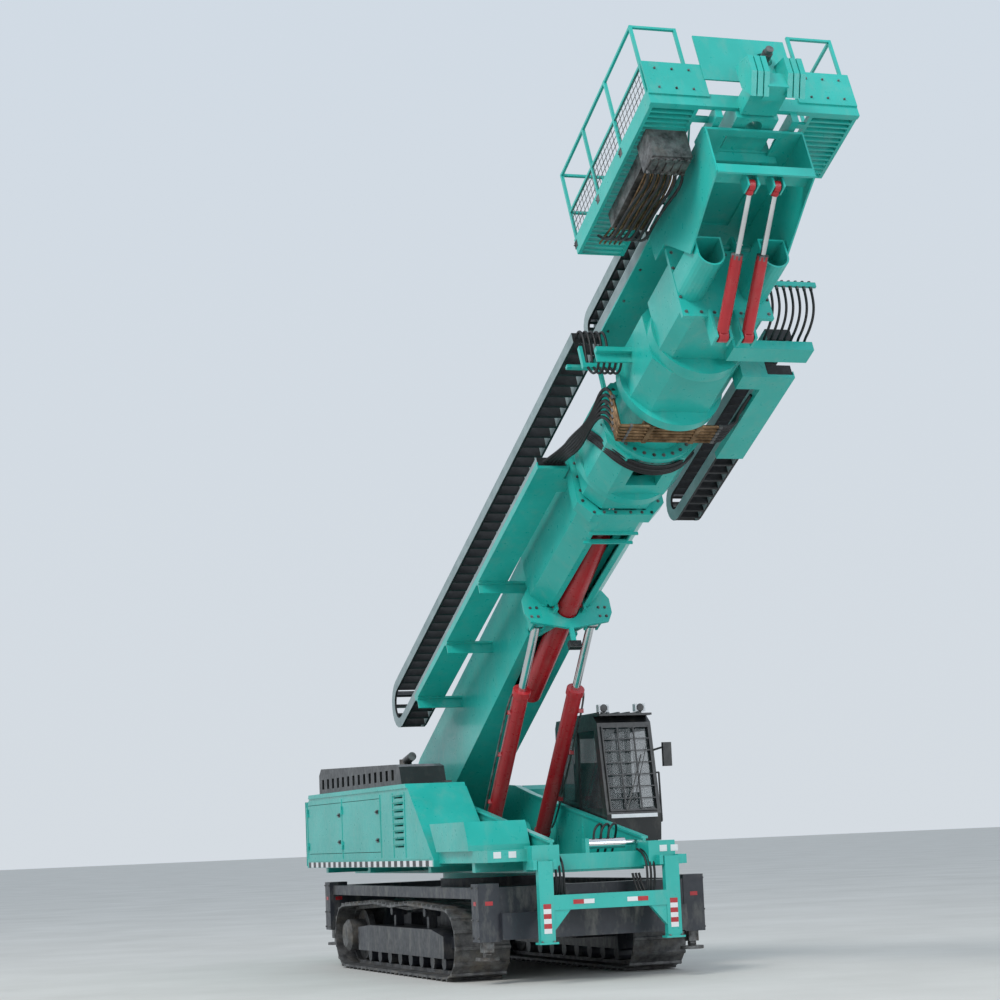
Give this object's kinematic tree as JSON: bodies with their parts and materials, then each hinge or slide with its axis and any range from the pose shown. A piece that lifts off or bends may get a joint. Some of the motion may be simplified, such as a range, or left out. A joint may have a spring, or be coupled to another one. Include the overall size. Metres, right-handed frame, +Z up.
{
  "type": "crawler slope drilling rig",
  "caption": "Tracked slope drilling rig with slewing deck, side cab, telescopic boom, and a tilting drill mast with a work platform at the boom head.",
  "frame": {"origin": "middle of the machine's bounding box at ground level", "axes": "+X forward, +Y to the machine's left (cab side), +Z up"},
  "size_m": [15.8854, 3.3, 10.5311],
  "materials": {
    "teal_paint": "glossy enamel",
    "dark_paint": "satin dark grey-blue",
    "black_paint": "satin black",
    "red_paint": "glossy red",
    "chrome_rod": "hard chrome",
    "bare_steel": "worn",
    "cast_weight": "painted casting",
    "track_steel": "worn, dusty",
    "engine_block": "rough",
    "chain_plastic": "moulded",
    "copper_pipe": "varnished pipe",
    "cab_window": "tinted",
    "seat_fabric": "woven",
    "lamp_lens": "clear over white"
  },
  "bodies": {
    "undercarriage": {"chassis": "dark_paint", "track_frames": "dark_paint", "track_rollers": "track_steel", "tracks": "track_steel"},
    "jack_fr": {"jack_front_right": "bare_steel"},
    "jack_fl": {"jack_front_left": "bare_steel"},
    "jack_rr": {"jack_rear_right": "bare_steel"},
    "jack_rl": {"jack_rear_left": "bare_steel"},
    "upper": {"deck": "teal_paint", "counterweight": "cast_weight", "hood": "teal_paint", "engine": "engine_block", "engine_cover": "black_paint", "exhaust": "bare_steel", "tanks": "teal_paint", "cab_shell": "black_paint", "cab_glass": "cab_window", "cab_interior": "seat_fabric", "lamps": "lamp_lens", "front_cylinder": "chrome_rod"},
    "door_rear": {"hood_door_rear": "teal_paint"},
    "door_front": {"hood_door_front": "teal_paint"},
    "cab_door": {"cab_door": "black_paint"},
    "front_frame": {"front_frame": "teal_paint"},
    "boom": {"boom_base": "teal_paint", "chain_tray": "teal_paint", "drag_chain_lower": "chain_plastic"},
    "lift_barrels": {"lift_barrels": "red_paint"},
    "lift_rods": {"lift_rods": "chrome_rod"},
    "extend_barrel": {"extend_barrel": "red_paint"},
    "extend_rod": {"extend_rod": "chrome_rod"},
    "inner_boom": {"inner_boom": "teal_paint", "pipe_bundle": "copper_pipe", "drag_chain_right": "chain_plastic"},
    "head": {"swing_head": "teal_paint"},
    "tilt_barrels": {"tilt_barrels": "red_paint"},
    "tilt_rods": {"tilt_rods": "chrome_rod"},
    "cradle": {"cradle": "teal_paint"},
    "mast": {"feed_beam": "teal_paint", "platform": "teal_paint", "platform_rails": "teal_paint", "valve_bank": "bare_steel", "drag_chain_upper": "chain_plastic"},
    "drill_head": {"drill_head": "teal_paint"},
    "drill_rod": {"drill_rod": "bare_steel"}
  },
  "joints": [
    {"name": "slew", "type": "hinge", "parent": "undercarriage", "child": "upper", "pos_m": [-2.49268, 0, 1.28], "axis": [0, 0, 1], "continuous": true},
    {"name": "front_frame_fold", "type": "hinge", "parent": "upper", "child": "front_frame", "pos_m": [1.83732, 0, 1.455], "axis": [0, -1, 0], "range_deg": [0, 80]},
    {"name": "cab_door_swing", "type": "hinge", "parent": "upper", "child": "cab_door", "pos_m": [-0.99968, 1.514, 2.5], "axis": [0, 0, 1], "range_deg": [0, 100]},
    {"name": "rear_door_swing", "type": "hinge", "parent": "upper", "child": "door_rear", "pos_m": [-7.05968, -1.574, 2], "axis": [0, 0, -1], "range_deg": [0, 110]},
    {"name": "front_door_swing", "type": "hinge", "parent": "upper", "child": "door_front", "pos_m": [-4.99968, -1.574, 2], "axis": [0, 0, -1], "range_deg": [0, 110]},
    {"name": "boom_lift", "type": "hinge", "parent": "upper", "child": "boom", "pos_m": [-5.37369, 0, 2.3122], "axis": [0, -1, 0], "range_deg": [-10, 20]},
    {"name": "lift_barrel_swing", "type": "hinge", "parent": "upper", "child": "lift_barrels", "pos_m": [-1.77268, 0, 1.62], "axis": [0, -1, 0], "range_deg": [-14, 28]},
    {"name": "lift_rod_slide", "type": "slide", "parent": "lift_barrels", "child": "lift_rods", "axis": [0.64, 0, 0.7684], "range_m": [-0.6, 1.2]},
    {"name": "boom_extend", "type": "slide", "parent": "boom", "child": "inner_boom", "axis": [0.9121, 0, 0.4099], "range_m": [0, 2.5]},
    {"name": "extend_barrel_swing", "type": "hinge", "parent": "boom", "child": "extend_barrel", "pos_m": [0.88068, 0, 4.78893], "axis": [0, -1, 0], "range_deg": [-5.5, 1]},
    {"name": "extend_rod_slide", "type": "slide", "parent": "extend_barrel", "child": "extend_rod", "axis": [0.844, 0, 0.5363], "range_m": [0, 2.5]},
    {"name": "head_turn", "type": "hinge", "parent": "inner_boom", "child": "head", "pos_m": [5.37622, 0, 7.37364], "axis": [0.9121, 0, 0.4099], "range_deg": [-30, 0]},
    {"name": "mast_tilt", "type": "hinge", "parent": "head", "child": "cradle", "pos_m": [5.81897, 0, 8.34006], "axis": [0, -1, 0], "range_deg": [-30, 0]},
    {"name": "tilt_barrel_swing", "type": "hinge", "parent": "head", "child": "tilt_barrels", "pos_m": [6.45292, 0, 7.1734], "axis": [0, -1, 0], "range_deg": [-22, 1]},
    {"name": "tilt_rod_slide", "type": "slide", "parent": "tilt_barrels", "child": "tilt_rods", "axis": [0.5491, 0, 0.8358], "range_m": [-0.67, 0.01]},
    {"name": "mast_feed", "type": "slide", "parent": "cradle", "child": "mast", "axis": [0.9121, 0, 0.4099], "range_m": [0, 1.2]},
    {"name": "drill_feed", "type": "slide", "parent": "mast", "child": "drill_head", "axis": [0.9121, 0, 0.4099], "range_m": [0, 1]},
    {"name": "drill_spin", "type": "hinge", "parent": "drill_head", "child": "drill_rod", "pos_m": [4.78183, 0, 8.69621], "axis": [0.9121, 0, 0.4099], "continuous": true},
    {"name": "jack_fr_slide", "type": "slide", "parent": "undercarriage", "child": "jack_fr", "axis": [0, 0, -1], "range_m": [0, 0.28]},
    {"name": "jack_fl_slide", "type": "slide", "parent": "undercarriage", "child": "jack_fl", "axis": [0, 0, -1], "range_m": [0, 0.28]},
    {"name": "jack_rr_slide", "type": "slide", "parent": "undercarriage", "child": "jack_rr", "axis": [0, 0, -1], "range_m": [0, 0.28]},
    {"name": "jack_rl_slide", "type": "slide", "parent": "undercarriage", "child": "jack_rl", "axis": [0, 0, -1], "range_m": [0, 0.28]}
  ],
  "couplings": [
    {"joint": "lift_barrel_swing", "follows": "boom_lift", "ratio": 1.3266},
    {"joint": "lift_rod_slide", "follows": "boom_lift", "m_per_rad": 3.37},
    {"joint": "extend_barrel_swing", "follows": "boom_extend", "rad_per_m": -0.033},
    {"joint": "extend_rod_slide", "follows": "boom_extend", "ratio": 0.993},
    {"joint": "tilt_barrel_swing", "follows": "mast_tilt", "ratio": 0.7002},
    {"joint": "tilt_rod_slide", "follows": "mast_tilt", "m_per_rad": 1.2561}
  ]
}
